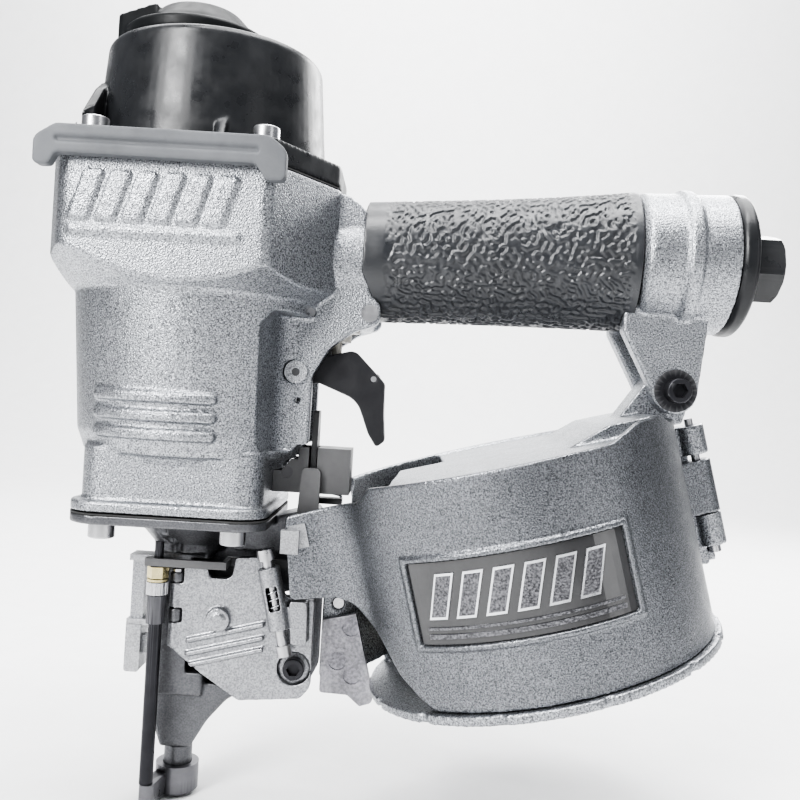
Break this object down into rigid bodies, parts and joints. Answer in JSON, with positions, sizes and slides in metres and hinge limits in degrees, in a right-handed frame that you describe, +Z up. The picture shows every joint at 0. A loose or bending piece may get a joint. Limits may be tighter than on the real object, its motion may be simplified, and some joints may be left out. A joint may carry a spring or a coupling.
{
  "type": "pneumatic nail gun",
  "caption": "Air-powered coil nailer with tilted drum magazine, swing cover, front door, trigger, contact arm and padded handle.",
  "frame": {"origin": "centre of the nose tip on the driver axis", "axes": "+Z up the driver axis, +X towards the rear of the handle, -Y the magazine cover side"},
  "size_m": [0.2468, 0.1252, 0.278],
  "materials": {
    "frame_paint": "fine hammertone silver grey",
    "black_satin": "black satin",
    "gasket": "matt",
    "steel": "zinc plated",
    "valve_polymer": "matt",
    "spring_steel": "bright",
    "black_screw": "black oxide",
    "guard_rubber": "matt",
    "alu_bare": "machined",
    "seal_rubber": "smooth",
    "bumper": "urethane",
    "grip_rubber": "wrinkle texture",
    "trigger_black": "dark grey satin",
    "white_polymer": "smooth",
    "nose_steel": "cast",
    "nose_light": "light grey cast",
    "blued_steel": "blackened steel",
    "brass_nut": "yellow zinc",
    "raw_diecast": "raw die cast",
    "cover_paint": "gunmetal satin",
    "gloss_black": "gloss black"
  },
  "bodies": {
    "frame": {"frame_casting": "frame_paint", "head_cap": "black_satin", "gaskets": "gasket", "cap_screws": "steel", "head_valve_spring": "spring_steel", "deflector_screw": "black_screw", "side_guards": "guard_rubber", "cylinder_sleeve": "alu_bare", "seal_rings": "seal_rubber", "piston_bumper": "bumper", "handle_grip": "grip_rubber", "handle_end_cap": "black_satin", "air_inlet_bushing": "black_satin", "inlet_filter": "alu_bare", "trigger_pin": "steel", "trigger_valve_body": "white_polymer", "trigger_valve_spring": "spring_steel", "frame_pins": "steel", "nose_body": "nose_steel", "nose_front_guide": "nose_light", "nose_screws": "steel", "contact_arm_guide": "trigger_black", "contact_spring": "spring_steel", "door_hinge_pin": "steel", "latch_spring": "spring_steel", "feed_cylinder": "black_satin", "feed_cylinder_cap": "black_satin", "feed_spring": "spring_steel", "magazine_housing": "frame_paint", "nose_bolts": "steel", "feed_wall_bracket": "raw_diecast", "cover_hinge_pin": "steel", "magazine_bolt": "black_screw", "magazine_nut": "steel", "platform_post": "steel"},
    "piston": {"piston": "alu_bare", "piston_ring": "valve_polymer", "driver_blade": "steel"},
    "head_valve": {"head_valve": "valve_polymer"},
    "deflector": {"exhaust_deflector": "black_satin"},
    "trigger": {"trigger": "trigger_black", "trip_lever_pin": "steel"},
    "trip_lever": {"trip_lever": "steel"},
    "valve_stem": {"trigger_valve_stem": "white_polymer"},
    "contact_arm": {"contact_foot": "blued_steel", "foot_insert": "seal_rubber", "contact_rod": "blued_steel", "upper_contact_arm": "trigger_black", "adjust_nut": "brass_nut"},
    "adjust_wheel": {"depth_adjust_wheel": "steel"},
    "door": {"front_door": "nose_light", "door_screw": "black_screw"},
    "latch": {"latch_bolt": "steel"},
    "cover": {"magazine_cover": "cover_paint", "cover_badge": "gloss_black", "cover_catch": "nose_light"},
    "platform": {"nail_platform": "white_polymer"},
    "feed_piston": {"feed_piston": "alu_bare"},
    "feed_pawl": {"feed_pawl": "blued_steel"}
  },
  "joints": [
    {"name": "piston_stroke", "type": "slide", "parent": "frame", "child": "piston", "axis": [0, 0, -1], "range_m": [0, 0.08]},
    {"name": "head_valve_slide", "type": "slide", "parent": "frame", "child": "head_valve", "axis": [0, 0, 1], "range_m": [0, 0.006], "stiffness_N_per_m": 1500, "springref_m": -0.004, "deforming": ["head_valve_spring"]},
    {"name": "deflector_turn", "type": "hinge", "parent": "frame", "child": "deflector", "pos_m": [-0.007, 0, 0.265], "axis": [0, 0, 1], "continuous": true},
    {"name": "trigger_squeeze", "type": "hinge", "parent": "frame", "child": "trigger", "pos_m": [0.0359, 0, 0.151], "axis": [0, -1, 0], "range_deg": [0, 10], "stiffness_Nm_per_rad": 0.4, "springref_deg": -6.88},
    {"name": "trip_lever_pivot", "type": "hinge", "parent": "trigger", "child": "trip_lever", "pos_m": [0.0624, 0, 0.1502], "axis": [0, 1, 0], "range_deg": [0, 4], "stiffness_Nm_per_rad": 0.004, "springref_deg": -5.73},
    {"name": "valve_stem_slide", "type": "slide", "parent": "frame", "child": "valve_stem", "axis": [0, 0, 1], "range_m": [0, 0.0023], "deforming": ["trigger_valve_spring"]},
    {"name": "contact_arm_slide", "type": "slide", "parent": "frame", "child": "contact_arm", "axis": [0, 0, 1], "range_m": [0, 0.0064], "stiffness_N_per_m": 300, "springref_m": -0.008, "deforming": ["contact_spring"]},
    {"name": "adjust_wheel_turn", "type": "hinge", "parent": "contact_arm", "child": "adjust_wheel", "pos_m": [-0.0068, -0.016, 0.0745], "axis": [0, 0, 1], "continuous": true},
    {"name": "door_swing", "type": "hinge", "parent": "frame", "child": "door", "pos_m": [-0.001, -0.012, 0.065], "axis": [0, 0, -1], "range_deg": [0, 85]},
    {"name": "latch_slide", "type": "slide", "parent": "door", "child": "latch", "axis": [-0.238, 0, 0.9713], "range_m": [0, 0.005], "stiffness_N_per_m": 400, "springref_m": -0.004, "deforming": ["latch_spring"]},
    {"name": "cover_swing", "type": "hinge", "parent": "frame", "child": "cover", "pos_m": [0.18199, 0.002, 0.12116], "axis": [-0.2588, 0, 0.9659], "range_deg": [0, 100]},
    {"name": "platform_slide", "type": "slide", "parent": "frame", "child": "platform", "axis": [-0.2588, 0, 0.9659], "range_m": [0, 0.01]},
    {"name": "feed_piston_slide", "type": "slide", "parent": "frame", "child": "feed_piston", "axis": [0.9659, 0, 0.2588], "range_m": [0, 0.011], "stiffness_N_per_m": 300, "springref_m": -0.008, "deforming": ["feed_spring"]},
    {"name": "feed_pawl_pivot", "type": "hinge", "parent": "feed_piston", "child": "feed_pawl", "pos_m": [0.02127, 0.0114, 0.06449], "axis": [0.2588, 0, -0.9659], "range_deg": [0, 13], "stiffness_Nm_per_rad": 0.02, "springref_deg": -8.59}
  ],
  "couplings": [
    {"joint": "valve_stem_slide", "follows": "trigger_squeeze", "m_per_rad": 0.01245}
  ]
}
